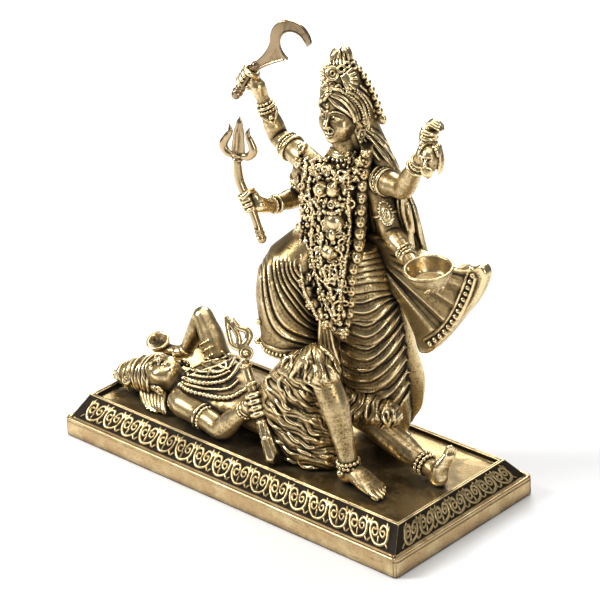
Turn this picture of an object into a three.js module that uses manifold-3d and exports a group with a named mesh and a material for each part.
// A cast brass showpiece: a four-armed goddess stands over a man who lies on a low stepped plinth.
// Units are millimetres, +Z is up, and the origin is the middle of the plinth's underside.
// +X runs along the plinth's long side and -Y is the side that the goddess faces.

import * as THREE from 'three';
import { mergeVertices } from 'three/addons/utils/BufferGeometryUtils.js';
import Module from 'manifold-3d';

const wasm = await Module();
wasm.setup();

// Plinth
const plinthLength = 170;
const plinthWidth = 77.4;
const slabHeight = 7.9;
const slabCornerRadius = 2.6;
const lipWidth = 2;
const bandRise = 8;
const bandRunAtEnds = 4.1;
const bandRunAtSides = 6.9;
const rimWidth = 1.7;
const trayDepth = 1.9;
const motifPitch = 10;
const motifRelief = 0.55;
const motifLineWidth = 1.1;

// Figures: the pose is given in 160ths of the goddess's height and of the man's length
const goddessHeight = 160;
const manLength = 160;
const figureParts = 160;

// Sickle: a flat blade with a hooked end on a round handle
const gripClearance = 0.3;
const sickleHandleRadius = 1.5;
const sicklePommelRadius = 1.8;
const sickleThickness = 1.5;
const sickleHookReach = 17.8;
const sickleHookRise = 15.7;
const sickleHookRadius = 8.2;
const sickleMouthRadius = 4.4;
const sickleMouthFlare = 1.8;

// Trident: a bent shaft with a pointed middle blade and two bowed prongs
const tridentShaftRadius = 1.5;
const tridentCollarRadius = 2.1;
const tridentBladeLength = 16;
const tridentBladeWidth = 4.6;
const tridentBladeThickness = 3;
const tridentProngThickness = 2.4;

// Bowl in the lower left hand
const bowlRadius = 8.6;
const bowlHeight = 6.4;
const bowlWall = 0.9;
const bowlFloor = 1.2;

// Gap kept between pieces that rest on each other
const restGap = 0.3;

const TAU = Math.PI * 2;
const trayTop = slabHeight + bandRise - trayDepth;
const standLevel = trayTop + restGap;
const herUnit = goddessHeight / figureParts;
const hisUnit = manLength / figureParts;

const his1 = (size) => size * hisUnit;
const her1 = (size) => size * herUnit;
const vec = (x, y, z) => new THREE.Vector3(x, y, z);
const her = (x, y, z) => vec(x * herUnit, y * herUnit, standLevel + z * herUnit);
const his = (x, y, z) => vec(x * hisUnit, y * hisUnit, standLevel + z * hisUnit);
const lerp = THREE.MathUtils.lerp;

// Solids

// Added to every radius while a cutter for a clearance is built
let room = 0;

function toSolid(geometry) {
  const bare = geometry.clone();
  bare.deleteAttribute('normal');
  bare.deleteAttribute('uv');
  const welded = mergeVertices(bare, 1e-4);
  return new wasm.Manifold(new wasm.Mesh({
    numProp: 3,
    vertProperties: new Float32Array(welded.getAttribute('position').array),
    triVerts: new Uint32Array(welded.getIndex().array),
  }));
}

function joined(solids) {
  return solids.reduce((whole, piece) => whole.add(piece));
}

function toMesh(name, solid, finish) {
  const result = solid.getMesh();
  const geometry = new THREE.BufferGeometry();
  const positions = new Float32Array(result.numVert * 3);
  for (let vertex = 0; vertex < result.numVert; vertex += 1) {
    for (let axis = 0; axis < 3; axis += 1) {
      positions[vertex * 3 + axis] = result.vertProperties[vertex * result.numProp + axis];
    }
  }
  geometry.setAttribute('position', new THREE.BufferAttribute(positions, 3));
  geometry.setIndex(new THREE.BufferAttribute(new Uint32Array(result.triVerts), 1));
  geometry.computeVertexNormals();
  const mesh = new THREE.Mesh(geometry, new THREE.MeshStandardMaterial(finish));
  mesh.name = name;
  return mesh;
}

// A value read from a list of numbers at share t of its length, eased between neighbours
function alongList(values, t) {
  const place = t * (values.length - 1);
  const before = Math.min(Math.floor(place), values.length - 2);
  return lerp(values[before], values[before + 1], THREE.MathUtils.smoothstep(place - before, 0, 1));
}

// A cylinder bent along a smooth path: its width and depth follow two lists of radii
function limb(path, widths, options = {}) {
  const { depths = widths, sides = 8, steps = 6, upright = vec(0, 0, 1), relief = null } = options;
  const curve = new THREE.CatmullRomCurve3(path, false, 'centripetal');
  const geometry = new THREE.CylinderGeometry(1, 1, 1, sides, steps);
  const place = geometry.getAttribute('position');
  for (let index = 0; index < place.count; index += 1) {
    const t = THREE.MathUtils.clamp(0.5 - place.getY(index), 0, 1);
    const centre = curve.getPoint(t);
    const tangent = curve.getTangent(t);
    const up = upright.clone().addScaledVector(tangent, -upright.dot(tangent)).normalize();
    const side = up.clone().cross(tangent);
    const angle = Math.atan2(place.getX(index), place.getZ(index));
    const swell = relief ? 1 + relief(t, angle) : 1;
    centre.addScaledVector(side, place.getX(index) * (alongList(widths, t) * swell + room));
    centre.addScaledVector(up, place.getZ(index) * (alongList(depths, t) * swell + room));
    place.setXYZ(index, centre.x, centre.y, centre.z);
  }
  return toSolid(geometry);
}

// A stack of level ellipses, each given as height, centre x, centre y, half width, half depth
function stackPoint(levels, angle, t, swell = 1) {
  const place = t * (levels.length - 1);
  const before = Math.min(Math.floor(place), levels.length - 2);
  const share = place - before;
  const [z, x, y, a, b] = levels[before].map((value, axis) => lerp(value, levels[before + 1][axis], share));
  return vec(x + Math.sin(angle) * a * swell, y - Math.cos(angle) * b * swell, z);
}

function stack(levels, place, { sides = 20, steps = 8, relief = null } = {}) {
  const geometry = new THREE.CylinderGeometry(1, 1, 1, sides, steps);
  const position = geometry.getAttribute('position');
  for (let index = 0; index < position.count; index += 1) {
    const t = THREE.MathUtils.clamp(0.5 + position.getY(index), 0, 1);
    const reach = Math.hypot(position.getX(index), position.getZ(index));
    const angle = Math.atan2(position.getX(index), position.getZ(index));
    const swell = reach * (relief ? 1 + relief(t, angle) : 1);
    const at = stackPoint(levels, angle, t, swell);
    const point = place(at.x + room * reach * Math.sin(angle), at.y - room * reach * Math.cos(angle), at.z);
    position.setXYZ(index, point.x, point.y, point.z);
  }
  return toSolid(geometry);
}

function ball(centre, rx, ry = rx, rz = rx, { across = 8, down = 6 } = {}) {
  const geometry = new THREE.SphereGeometry(1, across, down);
  geometry.rotateX(Math.PI / 2);
  geometry.scale(rx + room, ry + room, rz + room);
  geometry.translate(centre.x, centre.y, centre.z);
  return toSolid(geometry);
}

// Rounded masses from rows of centre, three radii, facets across and facets down
function sized(unit, rows) {
  return rows.map(([centre, rx, ry, rz, across, down]) => (
    ball(centre, rx * unit, ry * unit, rz * unit, { across, down })
  ));
}

function ring(centre, axis, radius, thickness, { sides = 4, steps = 9 } = {}) {
  const geometry = new THREE.TorusGeometry(radius, thickness + room, sides, steps);
  const turn = new THREE.Quaternion().setFromUnitVectors(vec(0, 0, 1), axis.clone().normalize());
  geometry.applyQuaternion(turn);
  geometry.translate(centre.x, centre.y, centre.z);
  return toSolid(geometry);
}

// A bare arm from inside the trunk to the palm, with an armlet and a bangle as swellings
function bareArm(root, shoulder, elbow, wrist, palm, unit, upright = vec(0.1, -1, 0.2)) {
  const upper = (share) => shoulder.clone().lerp(elbow, share);
  const fore = (share) => elbow.clone().lerp(wrist, share);
  const stations = [
    [root, 4.2],
    [shoulder, 4.9],
    [upper(0.6), 5.2],
    [upper(0.74), 4],
    [elbow, 3.9],
    [fore(0.8), 2.7],
    [fore(0.9), 3.5],
    [wrist, 2.6],
  ];
  if (palm !== wrist) {
    stations.push([palm, 3.3]);
  }
  const path = stations.map(([point]) => point);
  const widths = stations.map(([, radius]) => radius * unit);
  return limb(path, widths, { sides: 6, steps: path.length - 1, upright });
}

// Plinth

function roundedRectangle(length, width, radius) {
  const shape = new THREE.Shape();
  const x = length / 2;
  const y = width / 2;
  shape.moveTo(-x + radius, -y);
  shape.lineTo(x - radius, -y);
  shape.absarc(x - radius, -y + radius, radius, -Math.PI / 2, 0, false);
  shape.lineTo(x, y - radius);
  shape.absarc(x - radius, y - radius, radius, 0, Math.PI / 2, false);
  shape.lineTo(-x + radius, y);
  shape.absarc(-x + radius, y - radius, radius, Math.PI / 2, Math.PI, false);
  shape.lineTo(-x, -y + radius);
  shape.absarc(-x + radius, -y + radius, radius, Math.PI, Math.PI * 1.5, false);
  return shape;
}

// A four-sided frustum between two level rectangles
function frustum(lowLength, lowWidth, low, highLength, highWidth, high) {
  const geometry = new THREE.BoxGeometry(1, 1, 1);
  const place = geometry.getAttribute('position');
  for (let index = 0; index < place.count; index += 1) {
    const top = place.getZ(index) > 0;
    place.setXYZ(
      index,
      place.getX(index) * (top ? highLength : lowLength),
      place.getY(index) * (top ? highWidth : lowWidth),
      top ? high : low,
    );
  }
  return toSolid(geometry);
}

const bandLength = plinthLength - 2 * lipWidth;
const bandWidth = plinthWidth - 2 * lipWidth;
const rimLength = bandLength - 2 * bandRunAtEnds;
const rimBreadth = bandWidth - 2 * bandRunAtSides;
const trayLength = rimLength - 2 * rimWidth;
const trayWidth = rimBreadth - 2 * rimWidth;

// One scroll of the band, raised as a pointed boss with its point downwards
function scrollMotif(size) {
  const half = size / 2 - motifLineWidth / 2;
  const shape = new THREE.Shape();
  shape.moveTo(0, -half);
  shape.lineTo(half, half * 0.6);
  shape.lineTo(0, half * 0.25);
  shape.lineTo(-half, half * 0.6);
  const geometry = new THREE.ExtrudeGeometry(shape, { depth: 2 * motifRelief, bevelEnabled: false });
  geometry.translate(0, 0, -motifRelief);
  return toSolid(geometry);
}

// Rows of scrolls along the four sloped faces
function scrollBand() {
  const motifs = [];
  const faces = [
    { turn: 0, length: (bandLength + rimLength) / 2, half: bandWidth / 2, run: bandRunAtSides },
    { turn: Math.PI / 2, length: (bandWidth + rimBreadth) / 2, half: bandLength / 2, run: bandRunAtEnds },
    { turn: Math.PI, length: (bandLength + rimLength) / 2, half: bandWidth / 2, run: bandRunAtSides },
    { turn: -Math.PI / 2, length: (bandWidth + rimBreadth) / 2, half: bandLength / 2, run: bandRunAtEnds },
  ];
  for (const face of faces) {
    const slope = Math.atan2(bandRise, face.run);
    const slant = Math.hypot(bandRise, face.run);
    const count = Math.max(1, Math.round(face.length / motifPitch));
    const motif = scrollMotif(Math.min(slant * 0.92, face.length / count));
    for (let index = 0; index < count; index += 1) {
      const along = (index + 0.5 - count / 2) * (face.length / count);
      const lift = new THREE.Matrix4().makeRotationX(slope);
      lift.setPosition(along, -face.half + face.run / 2, slabHeight + bandRise / 2);
      lift.premultiply(new THREE.Matrix4().makeRotationZ(face.turn));
      motifs.push(motif.transform(lift.elements));
    }
  }
  return joined(motifs);
}

function plinth() {
  const slabShape = roundedRectangle(plinthLength, plinthWidth, slabCornerRadius);
  const slabOptions = { depth: slabHeight, bevelEnabled: false, curveSegments: 2 };
  const slab = toSolid(new THREE.ExtrudeGeometry(slabShape, slabOptions));
  const sink = slabHeight / 2;
  const rimTop = slabHeight + bandRise;
  const band = frustum(bandLength, bandWidth, slabHeight, rimLength, rimBreadth, rimTop);
  const root = frustum(bandLength, bandWidth, slabHeight - sink, bandLength, bandWidth, slabHeight);
  const tray = frustum(trayLength, trayWidth, trayTop, trayLength, trayWidth, rimTop + sink);
  return joined([slab, root, band, scrollBand()]).subtract(tray);
}

// Everything below the level that the figures stand on
function ground() {
  const reach = plinthLength;
  return frustum(reach, reach, standLevel - reach, reach, reach, standLevel);
}

// The man lying on his back, head towards -X

function manHead() {
  const parts = sized(hisUnit, [
    [his(-55.4, -12.2, 9.6), 9.4, 7.4, 7.6, 8, 6],
    [his(-49.6, -12.8, 11.8), 4, 4.2, 3.8, 6, 4],
    [his(-50.6, -14.6, 16.2), 1.1, 1.9, 0.9, 4, 3],
    [his(-56.6, -12.2, 17), 1, 1.6, 1, 4, 3],
    [his(-56.2, -16.8, 15), 1, 1.6, 1, 4, 3],
    [his(-53.8, -19.8, 7.8), 1.6, 1.1, 2.2, 4, 3],
  ]);
  const nose = [his(-57.2, -14.4, 16.8), his(-54, -15.4, 19), his(-52.8, -15, 17.6)];
  parts.push(limb(nose, [0.8, 1.3, 0.8].map(his1), { sides: 3, steps: 2 }));
  parts.push(limb([his(-50, -9.6, 8), his(-40, -6, 6.6)], [4.8, 5.4].map(his1), { sides: 7, steps: 1 }));
  return parts;
}

// Coiled hair over the crown of his head, drawn out to a pointed knot, and locks spread on the tray
function manHair() {
  const parts = [];
  const coils = 4.5;
  const crown = [his(-57, -12, 9.2), his(-65, -13, 8.2), his(-72, -14.4, 6.4), his(-79.5, -15.4, 4.2)];
  const relief = (t) => 0.09 * Math.cos(t * TAU * coils);
  const widths = [8.6, 7.4, 5.4, 1.6].map(his1);
  parts.push(limb(crown, widths, { sides: 6, steps: 9, relief }));
  const locks = 3;
  for (let index = 0; index < locks; index += 1) {
    const share = index / (locks - 1);
    const path = [
      his(-63 + 12 * share, -14 - 2 * share, 6.4),
      his(-61.4 + 13 * share, -18 - 2 * share, 3),
      his(-58 + 14 * share, -21.4 - 1.6 * Math.sin(share * Math.PI), 0.9),
    ];
    parts.push(limb(path, [2.4, 1.8, 0.6].map(his1), { sides: 4, steps: 2 }));
  }
  parts.push(ring(his(-68, -19, 8.4), vec(-0.3, -1, 0.5), his1(2.3), his1(0.8), { sides: 3, steps: 5 }));
  return parts;
}

const manSpine = [
  [-44, -5.5, 8.8, 12, 5.6],
  [-37, -5.5, 9.2, 14.6, 7.2],
  [-27, -5.5, 8.8, 13.6, 7.4],
  [-15, -5.5, 9, 11.4, 7.2],
  [-4, -5.5, 9.8, 12.4, 8.2],
  [6, -5.5, 9.2, 13.6, 8.4],
];

function manTorso() {
  const path = manSpine.map(([x, y, z]) => his(x, y, z));
  const widths = manSpine.map((level) => his1(level[3]));
  const depths = manSpine.map((level) => his1(level[4]));
  const roll = vec(0, -0.16, 1);
  return [limb(path, widths, { depths, sides: 9, steps: 5, upright: roll })];
}

// The top of his trunk at a place along it, where the goddess sets her foot
const bellyX = -2.6;
const bellyY = 2.4;
const bellyTop = 16.2;

function manNearArm() {
  const shoulder = his(-40.5, -18.2, 6.4);
  const elbow = his(-14.5, -22.6, 5);
  const wrist = his(-1.6, -21.2, 17.6);
  return [bareArm(his(-42, -12, 7), shoulder, elbow, wrist, wrist, hisUnit * 1.1)];
}

function manFarArm() {
  const shoulder = his(-44.5, 8, 9.6);
  const elbow = his(-57, 12.6, 25.4);
  const wrist = his(-63.5, 7.6, 9.6);
  const palm = [wrist, his(-70, 6, 9), his(-80.5, 4.6, 9.6)];
  const palmDepths = [2, 1.5, 0.8].map(his1);
  const support = [his(-71, 5.6, 8.4), his(-73, 5.6, 0)];
  const upright = vec(0, 1, 0);
  return [
    bareArm(his(-42, 3, 9), shoulder, elbow, wrist, his(-66, 7, 9), hisUnit, upright),
    limb(palm, [2.3, 2.9, 1.2].map(his1), { depths: palmDepths, sides: 6, steps: 2, upright }),
    limb(support, [1.6, 3].map(his1), { sides: 5, steps: 1, upright: vec(1, 0, 0) }),
  ];
}

// A small round drum head resting on his open far hand, hollowed from above
function manDrum() {
  const centre = his(-75, 4.8, 10.8);
  const outline = [
    new THREE.Vector2(0, -1.6),
    new THREE.Vector2(2.9, -1.6),
    new THREE.Vector2(3.6, 0.4),
    new THREE.Vector2(4.3, 1.7),
    new THREE.Vector2(3.2, 1.9),
    new THREE.Vector2(2.6, 0.6),
    new THREE.Vector2(0, 0.4),
  ].map((point) => point.multiplyScalar(hisUnit));
  const geometry = new THREE.LatheGeometry(outline, 7);
  geometry.rotateX(Math.PI / 2);
  geometry.rotateX(0.25);
  geometry.translate(centre.x, centre.y, centre.z);
  return toSolid(geometry);
}

// His staff: three prongs, a round boss, and a flared butt on the tray
function manStaff() {
  const butt = his(12.4, -23.2, 3.6);
  const boss = his(-5.4, -17.6, 34.4);
  const tip = his(-11.4, -15.6, 44.8);
  const axis = tip.clone().sub(butt).normalize();
  const across = vec(0.72, 0.69, 0).addScaledVector(axis, -vec(0.72, 0.69, 0).dot(axis)).normalize();
  const upright = vec(1, 0, 0);
  const parts = [
    limb([butt, boss], [3, 1.9, 1.7, 1.6, 1.7].map(his1), { sides: 6, steps: 4, upright }),
    ball(boss, his1(3.1), his1(3.1), his1(3.1), { across: 6, down: 4 }),
    limb([boss, tip], [1.5, 1.5, 0.3].map(his1), { sides: 4, steps: 2, upright }),
  ];
  for (const hand of [-1, 1]) {
    const reach = (out, rise) => (
      boss.clone().addScaledVector(across, hand * his1(out)).addScaledVector(axis, his1(rise))
    );
    const prong = [reach(0, 3.4), reach(3.6, 4.4), reach(4, 7.5), reach(2.4, 11.5)];
    parts.push(limb(prong, [1.1, 1.3, 1.1, 0.3].map(his1), { sides: 3, steps: 4, upright }));
  }
  const fingers = (t) => 0.16 * Math.cos(t * TAU * 4);
  const fist = [butt.clone().lerp(boss, 0.44), butt.clone().lerp(boss, 0.68)];
  parts.push(limb(fist, [3.6, 3.8, 3.2].map(his1), { sides: 4, steps: 8, upright, relief: fingers }));
  return parts;
}

// Hide skirt: shaggy lobes over the raised near thigh and the far thigh, and a fall to the tray
function manHide() {
  const shag = (t, angle) => 0.055 * Math.cos(angle * 6 + t * 9) + 0.03 * Math.cos(angle * 3 - t * 14);
  const nearThigh = [his(0, -10.2, 12), his(8.8, -13.8, 20), his(20, -16, 34.8), his(29, -17, 45.2)];
  const farThigh = [his(4, 0, 9), his(18, 2, 12.6), his(32, 4, 13.4), his(41, 5.6, 10)];
  const fallLevels = [
    [0, 15, -12.2, 18, 7.6],
    [5, 15.4, -12.9, 18.2, 8.6],
    [14, 15, -13.4, 15.4, 8.6],
    [25, 16.6, -14.2, 12.2, 7.8],
    [36, 20.2, -15.4, 9.2, 6.8],
  ];
  const depths = [8.6, 12, 10.2, 5.6].map(his1);
  return [
    limb(nearThigh, [7, 9, 8.4, 6.2].map(his1), {
      depths,
      sides: 10,
      steps: 4,
      upright: vec(-0.7, 0, 0.7),
      relief: shag,
    }),
    limb(farThigh, [9, 7.8, 7.4, 6.2].map(his1), { sides: 8, steps: 3, relief: shag }),
    stack(fallLevels, his, { sides: 10, steps: 3, relief: shag }),
    ball(his(30.5, -17, 46.4), his1(6), his1(6), his1(5.6), { across: 6, down: 4 }),
  ];
}

// Five toes side by side, pointing towards +Y, the longest at one end
function toeRow(width, length, thickness) {
  const toes = 5;
  const pitch = width / toes;
  const rootLength = length * 0.4;
  const shape = new THREE.Shape();
  shape.moveTo(-width / 2, -rootLength);
  for (let toe = 0; toe < toes; toe += 1) {
    const left = -width / 2 + toe * pitch;
    const reach = length * (0.55 + 0.45 * Math.sin(((toe + 1.4) / (toes + 0.8)) * Math.PI));
    shape.lineTo(left + pitch * 0.2, reach);
    shape.lineTo(left + pitch * 0.8, reach);
    if (toe < toes - 1) {
      shape.lineTo(left + pitch, reach * 0.3);
    }
  }
  shape.lineTo(width / 2, -rootLength);
  const geometry = new THREE.ExtrudeGeometry(shape, { depth: thickness, bevelEnabled: false });
  geometry.translate(0, 0, -thickness / 2);
  return geometry;
}

function manLegs() {
  const upright = vec(1, 0, 0);
  const shin = (rows) => [rows.map(([x, y, z]) => his(x, y, z)), rows.map((row) => his1(row[3]))];
  const [nearShin, nearWidths] = shin([
    [32.5, -17, 45.5, 5.2],
    [37.5, -17, 33, 5.4],
    [41.5, -16.5, 20, 4.3],
    [42.8, -16.2, 12.4, 3.6],
    [43.1, -16.1, 10.2, 5],
    [43.4, -16, 8, 3.4],
    [43, -15.8, 3.4, 4],
  ]);
  const [farShin, farWidths] = shin([
    [37, 5.6, 7.6, 5.2],
    [50, 4.6, 6, 4.9],
    [61, 3.8, 5.6, 3.6],
    [63.4, 3.6, 5.5, 4.9],
    [65.8, 3.4, 5.4, 3.4],
    [70.4, 3, 3.9, 3.2],
  ]);
  const nearFoot = [his(42, -15.6, 3.4), his(49.5, -15.8, 3.4), his(58, -16, 1.5)];
  const farFoot = [his(69.4, 2.6, 3), his(71, 4.2, 7.5), his(73, 6.6, 12)];
  const nearDepths = [3.6, 3.4, 2.2, 1.3].map(his1);
  const farDepths = [2.8, 2.3, 1.3].map(his1);
  const parts = [
    limb(nearShin, nearWidths, { sides: 7, steps: nearShin.length - 1, upright }),
    limb(nearFoot, [3, 4.2, 4.9, 4.4].map(his1), { depths: nearDepths, sides: 6, steps: 3 }),
    limb(farShin, farWidths, { sides: 7, steps: farShin.length - 1 }),
    limb(farFoot, [3.2, 4, 3.2].map(his1), { depths: farDepths, sides: 6, steps: 2, upright }),
  ];
  const flatToes = toeRow(his1(7.4), his1(4.6), his1(1.8));
  flatToes.rotateZ(-Math.PI / 2);
  flatToes.translate(...his(55.8, -16.2, 1));
  parts.push(toSolid(flatToes));
  const raisedToes = toeRow(his1(5.6), his1(4.6), his1(1.6));
  raisedToes.rotateX(Math.PI / 2);
  raisedToes.rotateZ(Math.PI / 2 - 0.3);
  raisedToes.rotateY(0.3);
  raisedToes.translate(...his(73.2, 6.8, 11.2));
  parts.push(toSolid(raisedToes));
  return parts;
}

// Strings of beads over his chest
function manBeads() {
  const parts = [];
  const strings = [
    { from: [-45, -14.5, 11], low: [-33, -7, 15.4], to: [-42, 6.5, 15.4] },
    { from: [-43.5, -16.5, 10], low: [-25, -8, 15.8], to: [-38, 8, 15.8] },
  ];
  for (const string of strings) {
    const path = [string.from, string.low, string.to].map((point) => his(...point));
    parts.push(limb(path, [1.4, 1.4].map(his1), { sides: 3, steps: 5 }));
  }
  return parts;
}

function recliningFigure() {
  const parts = [
    ...manTorso(),
    ...manHead(),
    ...manHair(),
    ...manNearArm(),
    ...manFarArm(),
    manDrum(),
    ...manHide(),
    ...manLegs(),
    ...manStaff(),
    ...manBeads(),
  ];
  return joined(parts).subtract(ground());
}

// The goddess, with places on her head given from its middle

function headPoint(out, ahead, rise) {
  return her(27.2 + out, 6.2 - ahead, 131.4 + rise);
}

function goddessHead() {
  const parts = [
    ball(headPoint(0, 0, 1.5), her1(8), her1(9.2), her1(10), { across: 8, down: 6 }),
    ball(headPoint(0, 4, -4.6), her1(5.4), her1(5), her1(4.6), { across: 7, down: 4 }),
    ball(headPoint(0, 8.2, -4.4), her1(2.4), her1(1.2), her1(1), { across: 4, down: 3 }),
    ball(headPoint(-3.3, 8, 1.4), her1(1.9), her1(1), her1(0.9), { across: 4, down: 3 }),
    ball(headPoint(3.3, 8, 1.4), her1(1.9), her1(1), her1(0.9), { across: 4, down: 3 }),
    ball(headPoint(8.6, 0.6, -2), her1(1.2), her1(1.6), her1(2.8), { across: 4, down: 3 }),
    ball(headPoint(-8.6, 0.6, -2), her1(1.2), her1(1.6), her1(2.8), { across: 4, down: 3 }),
  ];
  const nose = [headPoint(0, 8.4, 2), headPoint(0, 10.6, -1.6), headPoint(0, 9, -2.4)];
  parts.push(limb(nose, [0.8, 1.3, 0.8].map(her1), { sides: 3, steps: 2, upright: vec(0, -1, 0) }));
  const neck = [her(26, 8, 114), headPoint(0, -1, -6)];
  parts.push(limb(neck, [5.2, 4.8].map(her1), { sides: 7, steps: 1, upright: vec(0, -1, 0) }));
  const parting = [
    headPoint(-7.6, 3, 0.6),
    headPoint(-5.4, 7, 6.4),
    headPoint(0, 8.4, 9),
    headPoint(5.4, 7, 6.4),
    headPoint(7.8, 3, 0.6),
  ];
  parts.push(limb(parting, [1.4, 2, 1.4].map(her1), { sides: 4, steps: 4, upright: vec(0, -1, 0) }));
  return parts;
}

// Tall crown: rosettes at the front, a leaf-shaped finial and a pointed arch of knobs behind
function goddessCrown() {
  const outline = [
    new THREE.Vector2(0, -2.5),
    new THREE.Vector2(8.6, -2.5),
    new THREE.Vector2(8.8, 0.6),
    new THREE.Vector2(6.6, 6),
    new THREE.Vector2(5, 10.6),
    new THREE.Vector2(2.6, 13.4),
    new THREE.Vector2(2.7, 15.4),
    new THREE.Vector2(0, 18.8),
  ].map((point) => point.multiplyScalar(herUnit));
  const base = headPoint(0, 0.4, 9);
  const body = new THREE.LatheGeometry(outline, 8);
  body.rotateX(Math.PI / 2);
  body.translate(base.x, base.y, base.z);
  const parts = [toSolid(body)];
  const rosettes = [
    [0, 8.6, 11.4, 2.6],
    [0, 7.4, 16.2, 2.4],
    [-4.6, 6.4, 13.8, 2.3],
    [4.8, 6, 14, 2.6],
    [0, 4, 22.6, 2.2],
  ];
  for (const [out, ahead, rise, radius] of rosettes) {
    const size = her1(radius);
    const facets = { across: 5, down: 3 };
    parts.push(ball(headPoint(out, ahead, rise), size, size * 0.7, size, facets));
  }
  const plate = crestPlate(her1(10.6), her1(21), her1(2.6));
  plate.rotateX(Math.PI / 2 + 0.215);
  plate.translate(...headPoint(0, -6.6, 1.8));
  parts.push(toSolid(plate));
  return parts;
}

// A pointed arch-shaped plate in the upright plane, its edge set with knobs
function crestPlate(halfWidth, height, thickness) {
  const knobs = 9;
  const knobRadius = her1(1.3);
  const shape = new THREE.Shape();
  shape.moveTo(halfWidth * 0.6, -knobRadius);
  for (let knob = 0; knob < knobs; knob += 1) {
    const hand = 1 - (2 * knob) / (knobs - 1);
    const outward = new THREE.Vector2(height * Math.sign(hand), halfWidth).normalize();
    const along = new THREE.Vector2(-outward.y, outward.x);
    const centre = new THREE.Vector2(halfWidth * hand, height * (1 - Math.abs(hand)));
    centre.addScaledVector(outward, knobRadius);
    for (const side of [-0.6, 0.6]) {
      const corner = centre.clone().addScaledVector(along, side * knobRadius);
      shape.lineTo(corner.x, corner.y);
    }
    if (knob < knobs - 1) {
      const next = hand - 1 / (knobs - 1);
      shape.lineTo(halfWidth * next * 0.95, height * (1 - Math.abs(next)));
    }
  }
  shape.lineTo(-halfWidth * 0.6, -knobRadius);
  const geometry = new THREE.ExtrudeGeometry(shape, { depth: thickness, bevelEnabled: false });
  geometry.translate(0, 0, -thickness / 2);
  return geometry;
}

// Hair: ridged locks from the temples down her back
function goddessHair() {
  const locks = (t, angle) => 0.05 * Math.cos(angle * 6);
  const fall = [
    [46, 31, 20, 10.5, 2.6],
    [62, 30.5, 19.5, 16, 3.8],
    [80, 30, 18.5, 18.5, 4.4],
    [98, 28.5, 17.5, 17.5, 5],
    [114, 27.5, 15, 13.5, 6],
    [128, 27, 10.5, 10.6, 7.4],
    [138, 26.5, 8, 9.6, 9],
  ];
  return [stack(fall, her, { sides: 12, steps: 4, relief: locks })];
}

// Trunk
const trunkLevels = [
  [66, 24, 7, 12.5, 9.5],
  [74, 24, 7, 13.6, 9.8],
  [84, 24, 7, 12.4, 8.6],
  [92, 23, 7, 13, 9],
  [101, 22.6, 7, 14, 9.8],
  [108, 23, 7.5, 14.4, 8.6],
  [114, 25.4, 8, 9, 6.6],
];

function goddessTrunk() {
  const parts = [stack(trunkLevels, her, { sides: 9, steps: 5 })];
  for (const hand of [-1, 1]) {
    const breast = her(23.5 + hand * 6.4, -0.4, 101);
    parts.push(ball(breast, her1(5.4), her1(4.4), her1(5.2), { across: 6, down: 4 }));
  }
  return parts;
}

// Skirt over the standing left leg, from its hem up
const columnLevels = [
  [4.8, 28.2, 18.2, 12.6, 9.2],
  [14, 29.2, 18.2, 13.4, 10],
  [26, 30.4, 15.8, 13.2, 12.4],
  [38, 30.8, 13.8, 12.8, 12.6],
  [50, 30.6, 11.8, 13, 12.4],
  [62, 29.6, 9.2, 13.2, 11.6],
  [74, 28, 7.6, 13, 10.4],
  [83, 26, 7, 11.4, 8.8],
];

// Skirt over the raised right leg, from its hem up
const drapeLevels = [
  [39, 7.6, -4.6, 11.4, 11],
  [42.5, 7.4, -4.6, 12, 11.8],
  [44, 7.2, -4.6, 11.4, 11.4],
  [52, 7.2, -4.4, 11.8, 12.6],
  [62, 7.4, -4.4, 12.4, 13.8],
  [71, 8, -3.8, 12.2, 13.4],
  [79, 9.8, -1.8, 10.4, 11],
  [85, 13.4, 1.6, 7.8, 7.6],
];

// Folds that leave the hip upright, sweep round the raised thigh and gather at the middle pleats
const drapeFoldPitch = 5.2;
const drapeGather = [20, 49];
const drapeTop = 77;

function drapeRelief(t, angle) {
  const point = stackPoint(drapeLevels, angle, t);
  const top = drapeTop / herUnit;
  const rise = THREE.MathUtils.clamp((top - point.z) / (top - drapeGather[1]), 0, 0.93);
  const across = drapeGather[0] - (point.x * 0.72 + point.y * 0.69);
  const phase = (across / Math.sqrt(1 - rise * rise)) * (herUnit / drapeFoldPitch);
  const above = THREE.MathUtils.smoothstep(point.z, 43, 48);
  return -0.07 * above * Math.pow(Math.cos(phase * Math.PI), 2);
}

// Swags that hang across the front of the standing leg and rise to its outer side
const swagCount = 6;

function swagRelief(t, angle) {
  const front = THREE.MathUtils.clamp((angle + 0.5) / 2.4, 0, 1);
  const within = Math.sin(front * Math.PI);
  const sag = (1.1 - 0.6 * t) * within - 0.7 * front;
  return -0.1 * within * Math.pow(Math.cos((t * swagCount + sag) * Math.PI), 2);
}

function goddessSkirt() {
  const upright = vec(0, -1, 0);
  const pleats = [her(22.5, -4.6, 72), her(23.5, -5, 54), her(25, -2.4, 34)];
  const grooves = (t, angle) => 0.1 * Math.cos(angle * 5);
  const between = [her(20, 5, 70), her(20.5, 7.5, 46), her(21, 9.5, 23)];
  const betweenDepths = [4, 4, 3.6].map(her1);
  return [
    stack(columnLevels, her, { sides: 10, steps: 12, relief: swagRelief }),
    stack(drapeLevels, her, { sides: 14, steps: 7, relief: drapeRelief }),
    limb(pleats, [3, 4.2, 3.6].map(her1), { sides: 10, steps: 2, upright, relief: grooves }),
    limb(between, [7, 7, 6].map(her1), { depths: betweenDepths, sides: 7, steps: 2, upright }),
  ];
}

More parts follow.
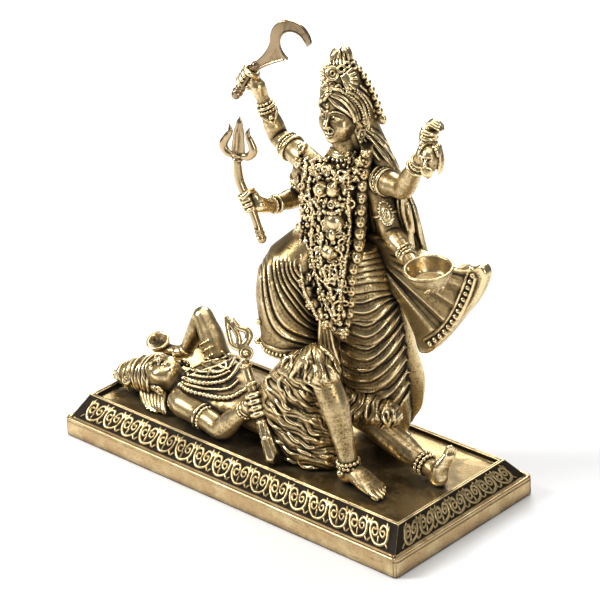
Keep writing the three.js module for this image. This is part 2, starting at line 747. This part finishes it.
// Her right shin and foot, set on the man's belly
function goddessLegs() {
  const belly = his(bellyX, bellyY, bellyTop);
  const sole = belly.clone().add(vec(0, 0, restGap + her1(1.6)));
  const shin = [her(6.4, -4.5, 50), sole.clone().add(vec(0, her1(1.6), her1(2)))];
  const raisedFoot = [
    sole.clone().add(vec(0, her1(3.4), her1(-0.6))),
    sole.clone().add(vec(0, her1(-5.6), her1(1))),
  ];
  const standingFoot = [her(31, 17, 2.6), her(37, 20.5, 2.2), her(42, 21.6, 1.3)];
  const standingAnkle = [her(31, 16, 12), her(31, 17, 1.2)];
  const upright = vec(0, -1, 0);
  return [
    limb(shin, [4.6, 3].map(her1), { sides: 6, steps: 1, upright }),
    limb(raisedFoot, [2.6, 3.2, 3].map(her1), { depths: [2.4, 2.2, 1.3].map(her1), sides: 6, steps: 2 }),
    limb(standingFoot, [3, 3.6, 3.4].map(her1), { depths: [3, 2.2, 1.3].map(her1), sides: 6, steps: 2 }),
    limb(standingAnkle, [3.6, 3.2].map(her1), { sides: 6, steps: 1, upright }),
  ];
}

// Scarf blown out behind her left side, with long folds and a thick turned hem
function goddessScarf() {
  const upright = vec(0, -1, 0.2);
  const folds = (t, angle) => (t < 0.7 ? 0.14 * Math.cos(angle * 5) * t : 0);
  const path = [
    her(38, 10, 86),
    her(50, 12.6, 74.5),
    her(59, 13.2, 67.7),
    her(66.4, 13.4, 63.2),
    her(67.2, 13.5, 62.7),
    her(69.8, 13.8, 60.9),
  ];
  const widths = [4.6, 9.8, 14.8, 19, 20.4, 20.4].map(her1);
  const depths = [3, 3.6, 3.4, 3.2, 4, 4].map(her1);
  return [limb(path, widths, { depths, sides: 10, steps: path.length - 1, upright, relief: folds })];
}

const raisedGrip = her(-16.7, 3.2, 137.4);
const raisedGripAxis = vec(0.54, 0.14, 0.83);
const lowerGrip = her(-0.6, -15.6, 99.5);
const lowerGripAxis = vec(0.46, 0.08, -0.88);
const hairGrip = her(74, -3.4, 138);
const hairGripAxis = vec(0.15, 0, 1);
const bowlRim = her(68, -3, 84.7).add(vec(bowlRadius * 0.814, bowlRadius * -0.395, bowlHeight + restGap));

function fist(centre, axis, radius, length) {
  const fingers = (t) => 0.12 * Math.cos(t * TAU * 4);
  const half = axis.clone().normalize().multiplyScalar(length / 2);
  const path = [centre.clone().sub(half), centre.clone().add(half)];
  const widths = [radius * 0.9, radius, radius * 0.85];
  return limb(path, widths, { sides: 4, steps: 8, upright: vec(0.3, -1, 0.1), relief: fingers });
}

// One of her arms through its root, shoulder, elbow, wrist and palm
function herArm(...places) {
  return bareArm(...places.map((place) => her(...place)), herUnit);
}

function goddessArms() {
  const open = [68, -3, 87];
  const rightRoot = [16, 6, 108];
  const leftRoot = [32, 8, 107];
  const palm = [her(...open), bowlRim.clone().sub(vec(0, her1(-0.4), bowlHeight + restGap + her1(1.1)))];
  const palmDepths = [1.8, 1.4].map(her1);
  return [
    herArm(rightRoot, [6.4, 6, 111], [-8.6, 9.6, 114], [-12.6, 6.4, 128.6], [-13.4, 4.8, 135]),
    fist(raisedGrip, raisedGripAxis, her1(3.5), her1(7.6)),
    herArm(rightRoot, [7, 6.5, 106], [2, 8, 94], [2.6, -8.5, 96], [1.4, -13, 98]),
    fist(lowerGrip, lowerGripAxis, her1(3.3), her1(7.8)),
    herArm(leftRoot, [40, 8.5, 110.5], [55, 4.6, 112], [66.4, 0.4, 127], [71.6, -2, 134.6]),
    fist(hairGrip, hairGripAxis, her1(3.7), her1(8.6)),
    herArm(leftRoot, [40, 8.5, 106], [47, 6.6, 92], [60.4, 0.6, 88.6], open),
    limb(palm, [3.6, 3.4].map(her1), { depths: palmDepths, sides: 6, steps: 1 }),
  ];
}

// The small bearded head that hangs by its hair from her upper left hand
function severedHead() {
  const centre = her(77.5, -7.6, 130.4);
  const beard = [her(77.8, -8.6, 129), her(77.6, -8.8, 125.6)];
  const heldHair = [her(77, -6, 132), her(75.4, -4.4, 136)];
  const hairTuft = [her(74.6, -3.4, 140.4), her(76.2, -3.4, 145), her(79, -3.4, 144)];
  const lock = [her(79.4, -5.5, 132), her(80.6, -4.6, 127)];
  const upright = vec(1, 0, 0);
  return [
    ball(centre, her1(3.4), her1(3.4), her1(4.2), { across: 6, down: 4 }),
    limb(beard, [2.4, 1].map(her1), { sides: 5, steps: 1 }),
    limb(heldHair, [2.6, 2].map(her1), { sides: 4, steps: 1, upright }),
    limb(hairTuft, [2, 1.5, 0.5].map(her1), { sides: 4, steps: 2, upright }),
    limb(lock, [1.6, 0.8].map(her1), { sides: 4, steps: 1, upright }),
  ];
}

// The bowl set on her lower left hand: a thin-walled cup, tilted a little forward
const bowlInside = [
  new THREE.Vector2(bowlRadius - bowlWall, 0),
  new THREE.Vector2(bowlRadius * 0.92 - bowlWall, -bowlHeight * 0.45),
  new THREE.Vector2(bowlRadius * 0.66, bowlFloor - bowlHeight),
  new THREE.Vector2(0, bowlFloor - bowlHeight),
];
const bowlOutside = [
  new THREE.Vector2(0, -bowlHeight),
  new THREE.Vector2(bowlRadius * 0.62, -bowlHeight),
  new THREE.Vector2(bowlRadius * 0.94, -bowlHeight * 0.45),
  new THREE.Vector2(bowlRadius, 0),
];
const bowlSides = 11;
const bowlTilt = 0.12;

function turnedBowl(outline) {
  const geometry = new THREE.LatheGeometry(outline, bowlSides);
  geometry.rotateX(Math.PI / 2 + bowlTilt);
  geometry.translate(bowlRim.x, bowlRim.y, bowlRim.z);
  return toSolid(geometry);
}

function bowl() {
  return turnedBowl([...bowlOutside, ...bowlInside]);
}

// The room that the bowl takes up in her hand, with its hollow and a gap round it
function bowlRoom() {
  return turnedBowl([
    new THREE.Vector2(0, -bowlHeight - restGap),
    new THREE.Vector2(bowlRadius * 0.62 + restGap, -bowlHeight - restGap),
    new THREE.Vector2(bowlRadius * 0.94 + restGap, -bowlHeight * 0.45),
    new THREE.Vector2(bowlRadius + restGap, 0),
    new THREE.Vector2(bowlRadius + restGap, bowlHeight),
    new THREE.Vector2(0, bowlHeight),
  ]);
}

// Garlands of small heads and flowers from her shoulders to below her knees
const garlandStrings = [
  {
    count: 9,
    radius: 2.4,
    path: [[39, 0.6, 116], [38.2, -3, 106], [36.4, -3.6, 92], [35.4, -5, 76], [33, -5.4, 66], [32, -6.4, 56]],
  },
  {
    count: 9,
    radius: 2.5,
    path: [
      [10.8, 1, 117], [12, -0.8, 104], [14.4, -1, 90],
      [15.6, -6.8, 78], [21.8, -10, 66], [29, -8.4, 57],
    ],
  },
  {
    count: 6,
    radius: 2.9,
    path: [[24, -3.4, 110], [24, -4.6, 98], [24.4, -2.6, 84], [25.6, -6.4, 74], [28, -7.4, 60]],
  },
];

function garlands() {
  const upright = vec(1, 0, 0.1);
  const parts = garlandStrings.map(({ count, radius, path }) => {
    const relief = (t) => 0.3 * Math.cos(t * TAU * (count - 1));
    const places = path.map((point) => her(...point));
    return limb(places, [radius, radius].map(her1), { sides: 3, steps: 2 * (count - 1), upright, relief });
  });
  parts.push(ring(her(27.4, 3, 115), vec(0.12, -0.5, 0.86), her1(7), her1(1.2), { sides: 3, steps: 8 }));
  parts.push(ball(her(25.4, -2.6, 82), her1(3), her1(2), her1(3), { across: 6, down: 4 }));
  parts.push(ball(her(29.6, -8.4, 55.4), her1(2.6), her1(2.2), her1(2.8), { across: 6, down: 4 }));
  return parts;
}

// Places in an upright plane through a grip, turned about the upright, in parts of her height
function gripPlane(grip, turn) {
  return (out, rise) => grip.clone().add(vec(
    her1(out) * Math.cos(turn),
    her1(out) * Math.sin(turn),
    her1(rise),
  ));
}

const sickleTurn = 0.26;
const sicklePlace = gripPlane(raisedGrip, sickleTurn);

function sickleHandle(clearance = 0) {
  const stations = [
    [-5.2, -7.6, sicklePommelRadius],
    [-4.2, -6.2, sicklePommelRadius],
    [-3.6, -5.3, sickleHandleRadius],
    [3.4, 5, sickleHandleRadius],
  ];
  const path = stations.map(([out, rise]) => sicklePlace(out, rise));
  const widths = stations.map(([, , radius]) => radius + clearance);
  return limb(path, widths, { sides: 6, steps: 3, upright: vec(0, -1, 0) });
}

// Flat blade: outer hook, hollow back down to the neck, under edge out to the barb, and the mouth
function sickle() {
  const shape = new THREE.Shape();
  const hookSteps = 8;
  const around = (radius, angle) => [
    sickleHookReach + radius * Math.cos(angle),
    sickleHookRise + radius * Math.sin(angle),
  ];
  const outer = (share) => around(sickleHookRadius * lerp(1.07, 0.94, share), lerp(0.06, 3.1, share));
  const mouth = (share) => {
    const flare = sickleMouthFlare * Math.pow(2 * share - 1, 2);
    const [x, y] = around(sickleMouthRadius + flare, lerp(4.43, -0.1, share));
    return [x + sickleMouthRadius * 0.18, y - sickleMouthRadius * 0.07];
  };
  shape.moveTo(...outer(0));
  for (let step = 1; step <= hookSteps; step += 1) {
    shape.lineTo(...outer(step / hookSteps));
  }
  const neck = [sickleHookReach * 0.08, sickleHookRise * 0.29];
  const heel = [sickleHookReach * 0.17, sickleHookRise * 0.14];
  const barb = [sickleHookReach * 0.37, sickleHookRise * 0.38];
  shape.quadraticCurveTo(sickleHookReach - sickleHookRadius * 0.98, sickleHookRise * 0.71, ...neck);
  shape.lineTo(...heel);
  shape.quadraticCurveTo(...barb, ...mouth(0));
  for (let step = 1; step <= hookSteps; step += 1) {
    shape.lineTo(...mouth(step / hookSteps));
  }
  const options = { depth: sickleThickness, bevelEnabled: false, curveSegments: 4 };
  const geometry = new THREE.ExtrudeGeometry(shape, options);
  geometry.translate(0, 0, -sickleThickness / 2);
  geometry.rotateX(Math.PI / 2);
  geometry.rotateZ(sickleTurn);
  geometry.translate(raisedGrip.x, raisedGrip.y, raisedGrip.z);
  return toSolid(geometry).add(sickleHandle());
}

const tridentTurn = 0.17;
const tridentBladeLean = 0.118;
const tridentPlace = gripPlane(lowerGrip, tridentTurn);

// Shaft stations from the blades down to the butt: out, rise, radius
function tridentShaft(clearance = 0) {
  const stations = [
    [-4, 18, tridentShaftRadius],
    [-4, 16.6, tridentCollarRadius],
    [-4.1, 14.6, tridentShaftRadius * 0.9],
    [-4.2, 10.6, tridentShaftRadius * 1.1],
    [-3.4, 6.4, tridentShaftRadius * 1.1],
    [0, -0.6, tridentShaftRadius],
    [1.9, -5.3, tridentShaftRadius],
    [4, -11.6, tridentShaftRadius],
    [4.7, -13.8, tridentShaftRadius * 1.3],
  ];
  const path = stations.map(([out, rise]) => tridentPlace(out, rise));
  const widths = stations.map(([, , radius]) => radius + clearance);
  return limb(path, widths, { sides: 5, steps: path.length - 1, upright: vec(0, -1, 0) });
}

function trident() {
  const upright = vec(Math.sin(tridentTurn), -Math.cos(tridentTurn), 0);
  const collar = tridentPlace(-4, 16);
  const lean = tridentBladeLean;
  const leanedPlace = (out, rise) => collar.clone().add(vec(
    (out + rise * lean) * tridentBladeLength * Math.cos(tridentTurn),
    (out + rise * lean) * tridentBladeLength * Math.sin(tridentTurn),
    rise * tridentBladeLength,
  ));
  const stations = [
    [0, 0.5],
    [0.19, 1],
    [0.59, 0.8],
    [1, 0.1],
  ];
  const blade = stations.map(([rise]) => leanedPlace(0, rise));
  const widths = stations.map(([, share]) => share * tridentBladeWidth / 2);
  const depths = stations.map(([, share]) => share * tridentBladeThickness / 2);
  const parts = [
    tridentShaft(),
    limb(blade, widths, { depths, sides: 4, steps: 3, upright }),
  ];
  for (const hand of [-1, 1]) {
    const prong = [
      [0.025, 0.05, 0.8],
      [0.29, 0.09, 1],
      [0.4, 0.24, 1.15],
      [0.31, 0.46, 1],
      [0.23, 0.61, 0.8],
      [0.275, 0.79, 0.25],
    ];
    const places = prong.map(([out, rise]) => leanedPlace(hand * out, rise));
    const radii = prong.map(([, , share]) => share * tridentProngThickness / 2);
    parts.push(limb(places, radii, { sides: 4, steps: 5, upright }));
  }
  return joined(parts);
}

function standingFigure() {
  const parts = [
    ...goddessTrunk(),
    ...goddessHead(),
    ...goddessCrown(),
    ...goddessHair(),
    ...goddessSkirt(),
    ...goddessLegs(),
    ...goddessScarf(),
    ...goddessArms(),
    ...severedHead(),
    ...garlands(),
  ];
  room = restGap;
  const belowHer = joined([ground(), ...manTorso(), ...manHide(), ...manLegs()]);
  room = 0;
  const held = joined([bowlRoom(), sickleHandle(gripClearance), tridentShaft(gripClearance)]);
  return joined(parts).subtract(belowHer).subtract(held);
}

const group = new THREE.Group();
const brass = { color: 0xa98d52, roughness: 0.35, metalness: 1 };
group.add(toMesh('plinth', plinth(), brass));
group.add(toMesh('reclining_figure', recliningFigure(), brass));
group.add(toMesh('standing_figure', standingFigure(), brass));
group.add(toMesh('sickle', sickle(), brass));
group.add(toMesh('trident', trident(), brass));
group.add(toMesh('bowl', bowl(), brass));

export default group;
